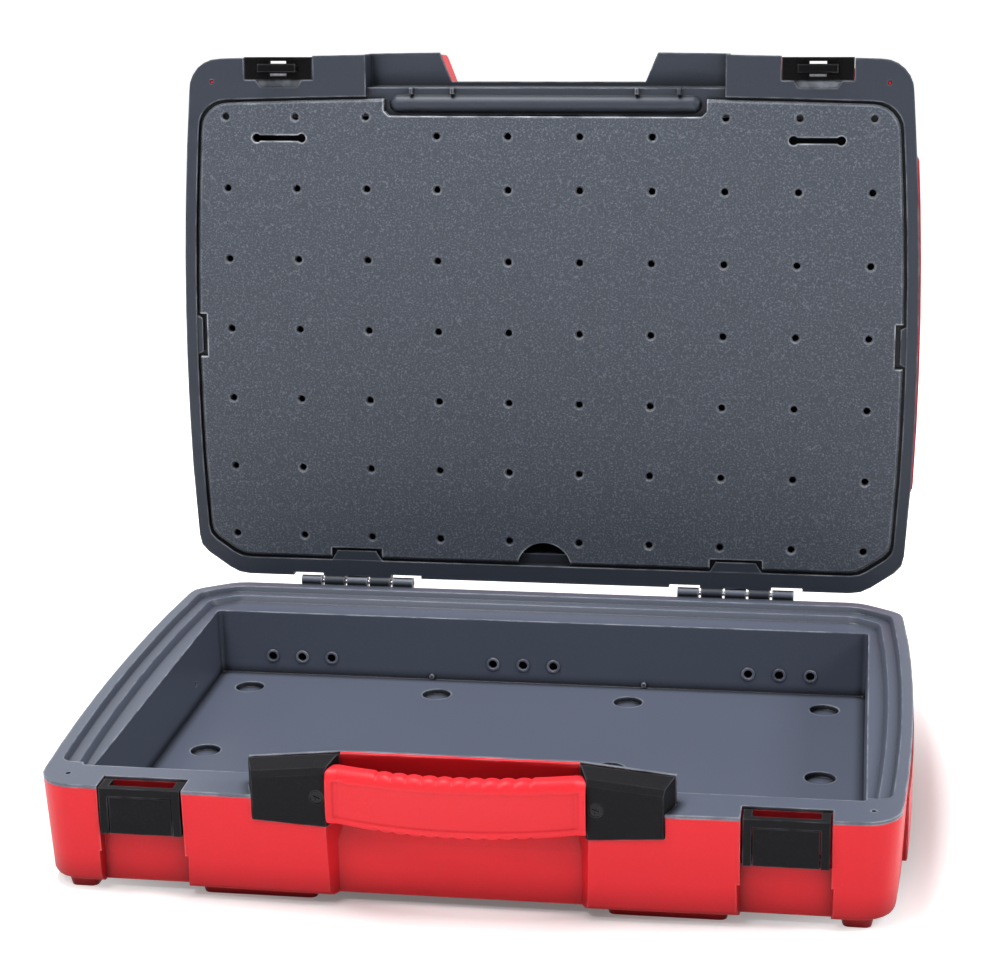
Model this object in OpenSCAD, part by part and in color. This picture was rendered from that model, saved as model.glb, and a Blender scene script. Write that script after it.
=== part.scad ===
// Hard tool case, open: a twin-wall base and lid on two pinned hinges, a
// removable perforated tool panel in the lid, a fixed carrying handle and two
// toggle latches.  Millimetres, +Z up, origin on the ground under the middle
// of the base; the handle faces -Y and the hinges are at +Y.
// Every half of the case is drawn in its own rim frame: z = 0 is the rim
// plane, the body of the half lies below it, and y = -case_d / 2 is the front.

/* [Case] */
// Width of the case at its widest
case_w = 517; // [440:1:600]
// Depth of the case from back edge to front
case_d = 374; // [330:1:440]
// Height of the base body, without its feet
base_h = 62.5; // [57.5:0.5:90]
// Height of the feet
foot_h = 6; // [3:0.5:10]
// Height of the lid
lid_h = 50; // [46:1:80]
// How far the sides curve in at front and back
side_bow = 8.2; // [4:0.1:12]
// How far behind the middle the case is widest
bow_y = 20; // [0:1:30]
// How far the front curves back at the corners
front_bow = 5; // [2:0.5:8]
// Radius of the front corners
corner_r = 22; // [18:1:28]
// Width of the bevel at the back corners
bevel_x = 29; // [20:1:34]
// Depth of the bevel at the back corners
bevel_y = 20; // [14:1:24]
// Draft of the shells from rim to outer face
draft = 2.5; // [1.5:0.1:3.5]
// Wall of the outer shells
shell_t = 2.2; // [1.8:0.1:3]
// Wall of the inner liners
liner_t = 2; // [1.6:0.1:2.4]
// Thickness of the raised pads on the sides
pad_t = 1.6; // [1:0.1:3]
// Gap between the two rims when closed
seam = 0.4; // [0.3:0.1:0.8]

/* [Tray] */
// Height of the tray floor over the underside of the base
tray_lift = 7.3; // [6.5:0.1:20]
// Distance of the tray's side walls from the widest part of the case
tray_side = 28; // [26.5:0.5:60]
// Width of the flat ledge at the sides
ledge_w = 7; // [6:0.5:8]
// Width of each terrace step
terrace_w = 9.5; // [8:0.5:10]
// Height of each step between terraces
terrace_drop = 4.4; // [3:0.1:6]
// Width of the flat ledge at the front
front_ledge = 33; // [32:0.5:40]
// Distance of the tray from the back edge
tray_back = 37; // [36:0.5:44]
// Diameter of the pads sunk in the tray floor
dimple_d = 20; // [12:1:24]
// Diameter of the holes in the back wall
wall_hole_d = 6; // [3:0.1:6]

/* [Lid liner and tool panel] */
// Depth of the space behind the panel
pan_depth = 34; // [20:1:40]
// Thickness of the tool panel
panel_t = 5; // [4:0.5:7]
// How far the panel stands proud of the lid rim
panel_proud = 0.3; // [0:0.05:0.3]
// Gap round the panel
panel_gap = 2; // [1:0.25:3]
// Spacing of the panel holes
hole_pitch = 50; // [30:1:50]
// Diameter of the panel holes
hole_d = 4.8; // [3:0.1:8]
// Length of the strap slots
slot_len = 38.5; // [24:0.5:46]
// Radius of the finger hole at the panel's lower edge
finger_r = 19.7; // [14:0.1:22]

/* [Hinges] */
// Angle at which the lid rests open
open_angle = 94.3; // [80:0.1:96]
// Distance of each hinge's middle from the side of the case
hinge_in = 122; // [108:0.5:150]
// Width of one hinge
hinge_w = 82; // [60:1:90]
// Radius of the knuckles
knuckle_r = 3.8; // [3.4:0.1:3.9]
// Radius of the hinge pins
pin_r = 1.6; // [1.2:0.1:2]
// Running clearance on every pin's radius
pin_clear = 0.05; // [0.02:0.01:0.1]

/* [Handle] */
// Clear width between the brackets at the front
grip_w = 150; // [130:1:160]
// Width of one bracket at the front
bracket_w = 43; // [36:1:48]
// Depth of the handle recess at the rim
recess_d = 16; // [14:0.5:20]
// Height of the handle wall above the rim
handle_up = 22; // [20:0.5:24]
// How far the bracket reaches below the rim
handle_down = 18; // [15:0.5:22]
// How far the handle core bows forward at its middle
grip_bow = 12; // [4:0.5:14]
// Thickness of the grip at its middle
grip_t = 12.7; // [12:0.1:15]
// Height of the grip
grip_h = 36; // [32:0.5:38]

/* [Latches] */
// Distance of each latch's middle from the side of the case
latch_in = 72; // [64:0.5:90]
// Width of a latch
latch_w = 48.5; // [40:0.5:54]
// Height of a latch
latch_h = 29.5; // [28:0.5:34]
// Width of the lever plate
lever_w = 37.3; // [36:0.1:38.5]
// Thickness of the lever plate
lever_t = 2; // [1.6:0.1:2.2]
// Depth of the latch pocket
pocket_d = 16; // [15.5:0.5:20]
// Radius of the latch pins
latch_pin_r = 1.25; // [1:0.05:1.4]
// Length of the keeper's tongue
tongue_l = 5.8; // [4:0.1:6]

/* [Fasteners] */
// Thread radius of the screws
screw_r = 1.9; // [1.5:0.1:2]
// Head radius of the screws
head_r = 3.6; // [3:0.1:4]
// Head height of the screws
head_h = 2.4; // [2:0.1:3]
// Length of the screws
screw_l = 10; // [9:0.5:11]

/* [Hidden] */
$fn = 48;
fit = 0.3;                       // gap between pieces that don't touch
hair = 0.01;                     // overlap that makes a cut come out clean
lap = 0.6;                       // overlap of two lofts that join
half_d = case_d / 2;
tray_depth = base_h - tray_lift;
tray_x = case_w / 2 - tray_side;
latch_x = case_w / 2 - latch_in;
hinge_x = case_w / 2 - hinge_in;
hinge_off = 3.8;                 // hinge axis behind the back edge
hinge_up = 2;                    // hinge axis above the base rim
axis_y = half_d + hinge_off;
rim_z = foot_h + base_h;          // height of the base rim
axis_z = rim_z + hinge_up;
edge_r = 3.5;                    // rounding of the outer face's edge
ring_bevel_r = 8;                // rounding of the back corner bevels
knuckle_gap = 1.7;
knuckle_w = (hinge_w - 4 * knuckle_gap) / 5;
rim_hole_r = 1.5;                // small holes at the front corners of the rims
rim_hole_x = case_w / 2 - 24;
rim_hole_y = -half_d + 20;
seat_z = panel_proud - panel_t - 0.2;
seat_in = 8;                     // panel seat, inwards from the side edge
seat_back = 12.5;                // and from the back edge
seat_front = 28.5;               // and from the front edge
panel_bevel = 1.5;               // bevel round the panel's face
hole_sink = 1;                   // countersink of the panel's holes
pan_in = 8;                      // pan wall, inwards from the seat edge
pan_z = -pan_depth;
recess_top_w = grip_w + 4;       // handle recess at the front face
recess_slope = 9;                // how much narrower it is at its back
recess_low = 10.5;               // depth of the recess below the grip
wall_t = 2.7;                    // raised wall of the shell behind the handle
lip_t = 2;                       // lip of the liner behind that wall
bracket_flare = 5.5;             // bracket is this much wider at its back
bracket_in = grip_w / 2 + 0.2;   // inner edge of a bracket at the front
bracket_out = bracket_in + bracket_w;
handle_half = bracket_out + bracket_flare + 0.5;
tongue_y = -half_d + 7;          // middle of the handle core's end tongues
core_t = 5;
core_h = 18;
handle_screw_x = bracket_in + 5;
bracket_screw_x = [bracket_in + 20, bracket_in + 36];
bracket_screw_z = -9;
pocket_w = latch_w + 2.5;
pocket_h = latch_h + 3;
low_d = 9.5;                     // depth of the latch recess below the latch
flare_z = 42;                    // where that recess widens
flare_w = 3;
lever_pin = [5.2, -10.2];          // [depth behind the front face, height]
loop_pin = [10.4, -latch_h + 3.1];
loop_top = -0.8;
bar_t = 2.2;
lip_reach = 2;
leg_w = (latch_w - lever_w) / 2 - 0.6;
flange_t = 2.5;
flange_x = lever_w / 2 - 2;      // outer face of a lever flange
ear_t = 3;
ear_r = latch_pin_r + 1.05;
ear_x = flange_x - flange_t - 0.7;
keeper_t = 9.5;
keeper_plate = 3;
keeper_tongue_w = 27;
keeper_screw_x = 17;
keeper_screw_z = -liner_t - head_r - 0.3;
latch_front = -half_d + front_bow * pow(latch_x / (case_w / 2), 2);

// ---- outline of the case ---------------------------------------------------

// Half width at a depth y, and front edge at a width x, moved in by s.
function side_x(y, s) = case_w / 2 - side_bow * pow((y - bow_y) / half_d, 2) - s;
function front_y(x, s) = -half_d + front_bow * pow(x / (case_w / 2), 2) + s;
function lerp(a, b, t) = a + (b - a) * t;
// Three points that round the vertex v between directions to p and q.
function round3(p, v, q, r) =
    let (a = v + (p - v) / norm(p - v) * r, b = v + (q - v) / norm(q - v) * r)
    [a, (a + 2 * v + b) / 4, b];

// Right half of the outline, front to back: s, b and f move the side, the
// back and the front in, r is the front corner and c scales the back bevel.
function half_outline(s, b, f, r, c) =
    let (yc = front_y(case_w / 2 - side_bow - s - r, f) + r,
        xc = side_x(yc, s) - r,
        yb = half_d - b,
        yv = yb - bevel_y * c,
        low = [side_x(yv, s), yv],
        high = [low.x - bevel_x * c, yb])
    concat(
        [for (i = [0 : 3]) let (x = xc * i / 4) [x, front_y(x, f)]],
        [for (a = [-90 : 15 : 0]) [xc + r * cos(a), yc + r * sin(a)]],
        [for (i = [1 : 7]) let (y = lerp(yc, yv, i / 8.5)) [side_x(y, s), y]],
        round3([low.x, 0], low, high, ring_bevel_r * c),
        round3(low, high, [0, yb], ring_bevel_r * c));
function outline(s, b, f, r, c = 1) =
    let (h = half_outline(s, b, f, r, c), n = len(h))
    concat(h, [for (i = [n - 1 : -1 : 1]) [-h[i].x, h[i].y]]);

// Solid through a list of [outline, z] rings with equally many points.
module loft(rings) {
    n = len(rings[0][0]);
    m = len(rings);
    polyhedron(
        points = [for (r = rings) for (p = r[0]) [p.x, p.y, r[1]]],
        faces = concat(
            [[for (i = [0 : n - 1]) i]],
            [for (k = [0 : m - 2]) for (i = [0 : n - 1])
                let (j = (i + 1) % n, a = k * n) [a + i, a + n + i, a + n + j]],
            [for (k = [0 : m - 2]) for (i = [0 : n - 1])
                let (j = (i + 1) % n, a = k * n) [a + i, a + n + j, a + j]],
            [[for (i = [n - 1 : -1 : 0]) (m - 1) * n + i]]));
}

// ---- shared tools ----------------------------------------------------------

// Prism along X between x0 and x1, from a profile in [y, z].
module along_x(x0, x1, profile)
    translate([x0, 0, 0]) rotate([90, 0, 90])
        linear_extrude(x1 - x0) polygon(profile);
// Prism along Y between y0 and y1, from a profile in [x, z].
module along_y(y0, y1, profile)
    translate([0, y1, 0]) rotate([90, 0, 0])
        linear_extrude(y1 - y0) polygon(profile);
module box(lo, hi) translate(lo) cube(hi - lo);
module both_sides() { children(); mirror([1, 0, 0]) children(); }
// Cylinder along X.
module rod_x(x0, x1, y, z, r)
    translate([x0, y, z]) rotate([0, 90, 0]) cylinder(h = x1 - x0, r = r);
// Screw along +Y: head from y0 - head_h to y0, thread beyond it.
module screw_y(x, y0, z, len, turn = 0)
    translate([x, y0, z]) rotate([-90, 0, 0]) rotate(turn) difference() {
        union() {
            translate([0, 0, -head_h]) cylinder(h = head_h, r = head_r);
            cylinder(h = len, r = screw_r);
        }
        for (a = [0, 90]) rotate(a)
            translate([-head_r * 0.6, -0.4, -head_h - 1]) cube([head_r * 1.2, 0.8, 2]);
    }

module in_base() translate([0, 0, rim_z]) children();
module in_lid()
    translate([0, axis_y, axis_z]) rotate([-open_angle, 0, 0])
        translate([0, -axis_y, -axis_z])
            translate([0, 0, rim_z + seam]) mirror([0, 0, 1]) children();
module at_latch(side) translate([side * latch_x, latch_front, 0]) children();

// ---- recesses in the front of both halves -----------------------------------

// Recess behind the grip, grown by g for the wall that lines it: d1 deep at
// the rim and d2 deep further down.
module grip_recess(h, d1, d2, g = 0) {
    w = recess_top_w / 2 + g;
    back = -half_d + d1 + g;
    low = -half_d + d2 + g;
    intersection() {
        translate([0, 0, -h - 1]) linear_extrude(h + 1 + handle_up + 9)
            polygon([[-w, -half_d - 1], [w, -half_d - 1],
                [w - recess_slope, back + hair], [-w + recess_slope, back + hair]]);
        along_x(-w - 1, w + 1, [[-half_d - 2, -h - 2], [low, -h - 2],
            [low, -handle_down - 12 - g], [back, -handle_down - 2 - g],
            [back, handle_up + 9], [-half_d - 2, handle_up + 9]]);
    }
}
// Plan of a bracket, moved out by g.
function bracket_plan(g) = [[bracket_in - g, -half_d - 2], [bracket_out + g, -half_d - 2],
    [bracket_out + g, -half_d], [bracket_out + bracket_flare + g, -half_d + recess_d + g - fit],
    [bracket_in - bracket_flare - g, -half_d + recess_d + g - fit], [bracket_in - g, -half_d]];
// Front view of a bracket, moved out by g: it is taller beside the grip.
function bracket_face(g) = [[bracket_in - 12, -handle_down - g],
    [bracket_out, -handle_down + 3.3 - g], [bracket_out + 12, -handle_down + 3.3 - g],
    [bracket_out + 12, handle_up - 5.5], [bracket_out, handle_up - 4.6],
    [bracket_in - 12, handle_up + 0.5]];

// Recess of one latch, grown by g: a pocket for the toggle and a shallower,
// flared channel below it for the finger.
module latch_recess(h, g = 0) {
    w = pocket_w / 2 + g;
    box([-w, -8, -pocket_h - g], [w, pocket_d + g, 1]);
    box([-w, -8, -h - 1], [w, low_d + g, -pocket_h]);
    translate([0, 0, -h - 1]) linear_extrude(h + 1 - flare_z + g)
        polygon([[-w - flare_w - 2, -8], [w + flare_w + 2, -8], [w, low_d - 3 + g],
            [-w, low_d - 3 + g]]);
}

// ---- outer shells -----------------------------------------------------------

// Raised pad on each side wall, t thick and bevelled all round.
module side_pad(h, t) {
    reach = half_d * 0.62;
    for (k = [0, 1])
        translate([0, 0, -h + 9 + k * t]) linear_extrude(h - 22 - 2 * k * t)
            intersection() {
                polygon(outline(-t * (0.5 + 0.5 * k), 0, 0, corner_r));
                for (side = [-1, 1])
                    translate([side * case_w / 2, 0])
                        square([4 * side_bow, 2 * reach - 2 * k * t], center = true);
            }
}
// One outer shell with the recesses that both halves share.
module half_shell(h, d1, d2, pad) {
    r = corner_r;
    difference() {
        union() {
            loft([[outline(draft + edge_r, draft + edge_r, draft + edge_r, r - edge_r), -h],
                [outline(draft + 0.3 * edge_r, draft + 0.3 * edge_r, draft + 0.3 * edge_r, r - 1), -h + 0.3 * edge_r],
                [outline(draft, draft, draft, r), -h + edge_r],
                [outline(0, 0, 0, r), -liner_t]]);
            side_pad(h, pad);
        }
        difference() {
            loft([[outline(draft + 2 * shell_t, draft + 2 * shell_t, draft + 2 * shell_t, r - 5), -h + shell_t],
                [outline(draft + shell_t, draft + shell_t, draft + shell_t, r - 3), -h + 2 * shell_t],
                [outline(shell_t, shell_t, shell_t, r - 3), -liner_t],
                [outline(shell_t, shell_t, shell_t, r - 3), 1]]);
            grip_recess(h, d1, d2, shell_t);
            for (side = [-1, 1]) at_latch(side) latch_recess(h, shell_t);
            children(1);
        }
        grip_recess(h, d1, d2);
        for (side = [-1, 1]) at_latch(side) latch_recess(h);
        children(0);
    }
}

// Outline with round corners, for feet and tray.
function round_rect(x, y0, y1, r) = [for (c = [[x, y0, -90], [x, y1, 0], [-x, y1, 90], [-x, y0, 180]])
    for (a = [0 : 22.5 : 90]) [c.x + (c.x > 0 ? -r : r) + r * cos(c[2] + a),
        c.y + (c.y == y1 ? -r : r) + r * sin(c[2] + a)]];
// Feet under the blocks that the recesses leave standing, front and back, and
// one in the middle of the underside.
foot_x = [[bracket_in + 9, latch_x - pocket_w / 2 - 6], [latch_x + pocket_w / 2 + 5, case_w / 2 - 22]];
module foot(w, d) loft([[round_rect(w / 2 - 1.5, -d / 2 + 1.5, d / 2 - 1.5, 4), -base_h - foot_h],
    [round_rect(w / 2, -d / 2, d / 2, 5), -base_h + 1]]);
module feet() {
    both_sides() for (f = foot_x) for (end = [-1, 1])
        translate([(f[0] + f[1]) / 2, end * (half_d - 26), 0]) foot(f[1] - f[0], 30);
    foot(case_w * 0.3, case_d * 0.24);
}

module base_shell() color([0.86, 0.2, 0.22]) in_base() {
    feet();
    half_shell(base_h, recess_d, recess_low, pad_t / 2) {
        // pockets of the brackets, their screw holes, and the walls behind them
        both_sides() {
            intersection() {
                translate([0, 0, -handle_down - 5]) linear_extrude(handle_down + 6)
                    polygon(bracket_plan(fit));
                along_y(-half_d - 3, -half_d + recess_d + 3, bracket_face(fit));
            }
            for (x = bracket_screw_x) screw_hole_y(x, -half_d + recess_d + shell_t, bracket_screw_z);
            // way of the handle core's tongue
            box([bracket_in - 6, tongue_y - core_t / 2 - fit, -core_h / 2 + 0.7],
                [bracket_in + 2, tongue_y + core_t / 2 + fit, 1]);
        }
        both_sides() intersection() {
            translate([0, 0, -handle_down - 9]) linear_extrude(handle_down + 10)
                polygon(bracket_plan(shell_t));
            along_y(-half_d - 3, -half_d + recess_d + 6, bracket_face(shell_t));
        }
    }
    handle_wall(-half_d + recess_d, wall_t, 2.5, 1.5);
    for (side = [-1, 1]) at_latch(side) lever_ears();
}
module screw_hole_y(x, y, z)
    translate([x, y + 1, z]) rotate([90, 0, 0]) cylinder(h = shell_t + 4, r = screw_r + 0.2);
// Wall that stands above the rim behind the grip, lower by drop behind the
// brackets and shorter by short at each end.
module handle_wall(y, t, drop = 0, short = 0) {
    end = handle_half - short;
    half = [[0, -liner_t], [end, -liner_t], [end, handle_up - 5.5 - drop],
        [bracket_in - 5, handle_up - drop], [bracket_in - 6, handle_up], [0, handle_up]];
    both_sides() along_y(y, y + t, half);
}
// Two ears on the pocket's back wall that carry the lever's pin.
module lever_ears() for (side = [-1, 1]) {
    x1 = ear_x;
    x0 = ear_x - ear_t;
    a = side > 0 ? x0 : -x1;
    difference() {
        union() {
            along_x(a, a + ear_t, [[lever_pin.x, lever_pin.y + ear_r], [pocket_d, lever_pin.y + ear_r],
                [pocket_d, lever_pin.y - 7], [lever_pin.x, lever_pin.y - ear_r]]);
            rod_x(a, a + ear_t, lever_pin.x, lever_pin.y, ear_r);
        }
        rod_x(a - 1, a + ear_t + 1, lever_pin.x, lever_pin.y, latch_pin_r + pin_clear);
    }
}

module lid_shell() color([0.86, 0.2, 0.22]) in_lid() half_shell(lid_h, lid_recess, lid_recess, pad_t) {
    union() {
        // opening for the liner's handle pocket, and the keepers' screw holes
        box([-handle_half - liner_t - 2 * fit, -half_d - 8, -handle_up - 4 - liner_t],
            [handle_half + liner_t + 2 * fit, -half_d + land_front + 2 * liner_t, 1]);
        hinge_notches();
        for (side = [-1, 1]) at_latch(side) for (x = [-1, 1])
            screw_hole_y(x * keeper_screw_x, pocket_d + shell_t, keeper_screw_z);
    }
    union() { }
}

// ---- liners -----------------------------------------------------------------

// Knuckles of one half: which of the five belong to it, and the height of
// the axis over its rim.
module knuckles(which, h) both_sides() for (i = which) {
    x = hinge_x - hinge_w / 2 + i * (knuckle_w + knuckle_gap);
    difference() {
        translate([0, axis_y, h]) {
            rod_x(x, x + knuckle_w, 0, 0, knuckle_r);
            along_x(x, x + knuckle_w, [[-hinge_off - 4, -h], [-hinge_off + 1.4, -h],
                [0, 0], [knuckle_r * cos(20), -knuckle_r * sin(20)], [1, -6], [-hinge_off, -10],
                [-hinge_off, -h - liner_t], [-hinge_off - 4, -h - liner_t]]);
        }
        rod_x(x - 1, x + knuckle_w + 1, axis_y, h, pin_r + pin_clear);
    }
}
// Notches in the lid's back edge over the base's knuckles, deeper and wider
// over the outer ones.
module hinge_notches() both_sides() for (i = [0, 2, 4]) {
    x = hinge_x - hinge_w / 2 + i * (knuckle_w + knuckle_gap);
    box([x - (i == 0 ? 6 : knuckle_gap / 2), half_d - (i == 2 ? 0.4 : 2.2), -12],
        [x + knuckle_w + (i == 4 ? 6 : knuckle_gap / 2), half_d + 1, 1]);
}
// Small holes and front notches that both liners share.
module rim_cuts(w) {
    both_sides() translate([rim_hole_x, rim_hole_y, -liner_t - 1]) cylinder(h = liner_t + 2, r = rim_hole_r);
    for (side = [-1, 1]) at_latch(side)
        box([-w / 2, -9, -liner_t - 1], [w / 2, pocket_d, 1]);
}

// Terraces from the rim down: [in from the side, in from the back, z].
terraces = [[ledge_w, ledge_w + 1.5, 0], [ledge_w + 2, ledge_w + 3.5, -terrace_drop + 0.3],
    [ledge_w + terrace_w - 1, ledge_w + terrace_w, -terrace_drop],
    [ledge_w + terrace_w + 1.5, ledge_w + terrace_w + 2.5, -2 * terrace_drop],
    [ledge_w + 2 * terrace_w - 1.5, tray_back - 0.5, -2 * terrace_drop - 0.4]];
function terrace(i, t) = let (q = terraces[i], k = i / 4)
    outline(q[0] - t, q[1] - t, front_ledge - t, 8 + t / 2, 0.85 - 0.4 * k);
module terrace_loft(t, top) loft(concat(
    [for (i = [4 : -1 : 0]) [terrace(i, t), terraces[i][2] - t]], top));
module tray_prism(t, z1) loft([
    [round_rect(tray_x - 1.5 + t, -half_d + front_ledge - t, half_d - tray_back - 1.5 + t, 3 + t / 2), -tray_depth - t],
    [round_rect(tray_x + t, -half_d + front_ledge - t, half_d - tray_back + t, 3 + t / 2), z1]]);
tray_back_y = half_d - tray_back;
hole_z = -tray_depth + 13.2;
dimple_x = [-0.78, -0.26, 0.26, 0.78];
dimple_ends = [tray_back_y - 29.5, -half_d + front_ledge + 41.5];
dimple_y = [dimple_ends[0], (dimple_ends[0] + dimple_ends[1]) / 2, dimple_ends[1]];
module dimples(d, z0, z1)
    for (x = dimple_x) for (y = dimple_y)
        translate([x * case_w / 2, y, z0]) cylinder(h = z1 - z0, d = d);
wall_hole_x = [for (g = [60.8 - tray_x, -10, tray_x - 60.8]) for (i = [-1 : 1]) g + 21.5 * i];
module base_liner() color([0.38, 0.4, 0.45]) in_base() {
    floor_low = -base_h + shell_t;
    difference() {
        union() {
            translate([0, 0, -liner_t]) linear_extrude(liner_t) polygon(outline(0, 0, 0, corner_r));
            terrace_loft(liner_t, []);
            tray_prism(liner_t, -liner_t);
            dimples(dimple_d + 2 * liner_t, floor_low, -tray_depth - hair);
        }
        difference() {
            union() {
                terrace_loft(0, [[terrace(0, 0), 1]]);
                tray_prism(0, 1);
            }
            // collars round the holes of the back wall, and small nubs
            wall_bosses();
        }
        dimples(dimple_d, floor_low + liner_t - 0.6, -tray_depth + 1);
        for (x = wall_hole_x) translate([x, tray_back_y + 9, hole_z]) rotate([90, 0, 0])
            cylinder(h = 14, d = wall_hole_d, $fn = 32);
        rod_x(-tray_x - 5, -tray_x + 4, half_d - 105, hole_z + 2, 1.8);
        rim_cuts(pocket_w);
        // the shell's raised wall and the brackets pass in front of the liner
        box([-bracket_in - 2, -half_d - 9, -liner_t - 1], [bracket_in + 2, -half_d + recess_d + wall_t, 1]);
        box([-handle_half + 1.2, -half_d + recess_d - 1, -liner_t - 1],
            [handle_half - 1.2, -half_d + recess_d + wall_t, 1]);
        both_sides() translate([0, 0, -liner_t - 1]) linear_extrude(liner_t + 2)
            polygon(bracket_plan(fit));
    }
    handle_wall(-half_d + recess_d + wall_t, lip_t);
    knuckles([0, 2, 4], hinge_up);
}
module wall_bosses() {
    for (x = wall_hole_x) translate([x, tray_back_y + 3, hole_z]) rotate([90, 0, 0])
        cylinder(h = 4.8, d = wall_hole_d + 3.4, $fn = 32);
    both_sides() translate([case_w * 0.146, tray_back_y + 3, -tray_depth + 2.4]) rotate([90, 0, 0])
        cylinder(h = 6, r = 1.8, $fn = 24);
}

// Seat of the panel and the pan behind it.
function seat_outline(t) = outline(seat_in - t, seat_back - t, seat_front - t, 20 + t / 2, 0.8);
function pan_outline(t) = outline(seat_in + pan_in - t, seat_back + pan_in - t, seat_front + 14 - t, 14 + t / 2, 0.6);
bar_r = 6.2;
bar_y = -half_d + 35;
bar_half = handle_half - 21.8;
tab_w = 28;
clip_y = 12;
land_front = recess_d + wall_t + lip_t + 3.1;   // handle pocket of the lid
lid_recess = land_front - 1.8;
module lid_liner() color([0.38, 0.4, 0.45]) in_lid() {
    pocket_back = -half_d + land_front;
    deep = handle_up + 2;
    difference() {
        union() {
            translate([0, 0, -liner_t]) linear_extrude(liner_t) polygon(outline(0, 0, 0, corner_r));
            translate([0, 0, seat_z - liner_t]) linear_extrude(-seat_z) polygon(seat_outline(liner_t));
            loft([[pan_outline(liner_t - 1.5), pan_z - liner_t], [pan_outline(liner_t), seat_z - liner_t + lap]]);
            intersection() {
                translate([0, 0, -deep - liner_t]) linear_extrude(deep + liner_t)
                    polygon(outline(0, 0, 0, corner_r));
                union() {
                    box([-handle_half - liner_t, -half_d - 1, -deep - liner_t],
                        [handle_half + liner_t, pocket_back + liner_t, 0]);
                    box([-handle_half - liner_t, -half_d - 1, seat_z - liner_t],
                        [handle_half + liner_t, -half_d + seat_front, 0]);
                }
            }
        }
        difference() {
            union() {
                translate([0, 0, seat_z]) linear_extrude(-seat_z + 1) polygon(seat_outline(0));
                loft([[pan_outline(-1.5), pan_z], [pan_outline(0), seat_z + lap]]);
                box([-handle_half - fit, -half_d + seat_front - lap, seat_z],
                    [handle_half + fit, -half_d + seat_front + 1.5, 1]);
            }
            // rounded bar, hinge tabs and side clips that stand in the seat
            rod_x(-bar_half, bar_half, bar_y, -bar_r - 0.3, bar_r);
            for (side = [-1, 1]) translate([side * bar_half, bar_y, -bar_r - 0.3]) sphere(bar_r);
            both_sides() {
                translate([hinge_x, half_d - seat_back, seat_z - hair]) linear_extrude(-seat_z - 0.2)
                    polygon([[-tab_w / 2 - 5, 1], [tab_w / 2 + 5, 1], [tab_w / 2, -7], [-tab_w / 2, -7]]);
                translate([0, 0, seat_z - hair]) linear_extrude(-seat_z - 0.8)
                    polygon([[side_x(clip_y, seat_in - 1), clip_y - 14.5], [side_x(clip_y, seat_in + 4), clip_y - 12],
                        [side_x(clip_y, seat_in + 4), clip_y + 12], [side_x(clip_y, seat_in - 1), clip_y + 14.5]]);
            }
        }
        // pocket for the handle wall and the upper ends of the brackets, and
        // the ribbed land between it and the panel
        box([-handle_half - fit, -half_d - 9, -deep], [handle_half + fit, pocket_back, 1]);
        difference() {
            box([-handle_half - fit, pocket_back - 1, seat_z], [handle_half + fit, -half_d + seat_front + hair, 1]);
            for (x = [-1.45, -1, 1, 1.45]) translate([x * 64, pocket_back - 1, seat_z])
                translate([-1.2, 0, 0]) cube([2.4, 9, -seat_z - 0.5]);
        }
        grip_recess(lid_h, lid_recess - 1.6, lid_recess - 1.6);
        rim_cuts(latch_w + 2 * fit);
        hinge_notches();
        // shallow relief under each keeper
        for (side = [-1, 1]) at_latch(side) translate([0, 0, -1.2]) linear_extrude(2)
            polygon([[-17, pocket_d - 1], [17, pocket_d - 1], [13, pocket_d + 5], [-13, pocket_d + 5]]);
    }
    knuckles([1, 3], seam - hinge_up);
}

// ---- tool panel ---------------------------------------------------------------

module tool_panel() color([0.34, 0.36, 0.4]) in_lid() {
    g = panel_gap;
    back = half_d - seat_back - g;
    row0 = (seat_front - seat_back) / 2 - 1;       // middle row of holes
    rows = floor((case_d - seat_back - seat_front - 2 * g - 28) / hole_pitch) / 2;
    columns = floor((case_w - 2 * (seat_in + g + 17)) / hole_pitch) / 2;
    translate([0, 0, panel_proud - panel_t]) difference() {
        loft([[outline(seat_in + g, seat_back + g, seat_front + g, 20, 0.8), 0],
            [outline(seat_in + g, seat_back + g, seat_front + g, 20, 0.8), panel_t - panel_bevel],
            [outline(seat_in + g + panel_bevel, seat_back + g + panel_bevel, seat_front + g + panel_bevel,
                20 - panel_bevel, 0.8), panel_t]]);
        for (r = [-rows : rows]) for (c = [-columns : columns])
            let (short = r == rows && abs(c) < 2, y = row0 - r * hole_pitch + (short ? 13 : 0))
            translate([c * hole_pitch, y, -1]) {
                cylinder(h = panel_t + 2, d = hole_d, $fn = 24);
                translate([0, 0, panel_t + 1 - hole_sink])
                    cylinder(h = 2 * hole_sink, r1 = hole_d / 2, r2 = hole_d / 2 + 2 * hole_sink, $fn = 24);
            }
        both_sides() {
            // strap slot with round ends
            translate([latch_x + 0.5, -half_d + seat_front + g + 28.3, -1]) {
                for (x = [-1, 1]) translate([x * (slot_len / 2 - 3.2), 0, 0]) cylinder(h = panel_t + 2, r = 3.2);
                box([-slot_len / 2 + 3, -2, 0], [slot_len / 2 - 3, 2, panel_t + 2]);
            }
            // notches for the side clip and the hinge tab
            box([side_x(clip_y, seat_in + g + 5.5), clip_y - 15.5, -1], [case_w, clip_y + 15.5, panel_t + 1]);
            box([hinge_x - tab_w / 2 - 4.5, back - 7, -1], [hinge_x + tab_w / 2 + 4.5, back + 9, panel_t + 1]);
        }
        translate([0, back + 4.6, -1]) cylinder(h = panel_t + 2, r = finger_r);
        translate([0, 0, -1]) linear_extrude(panel_t + 2) polygon(bar_notch());
    }
}
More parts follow.
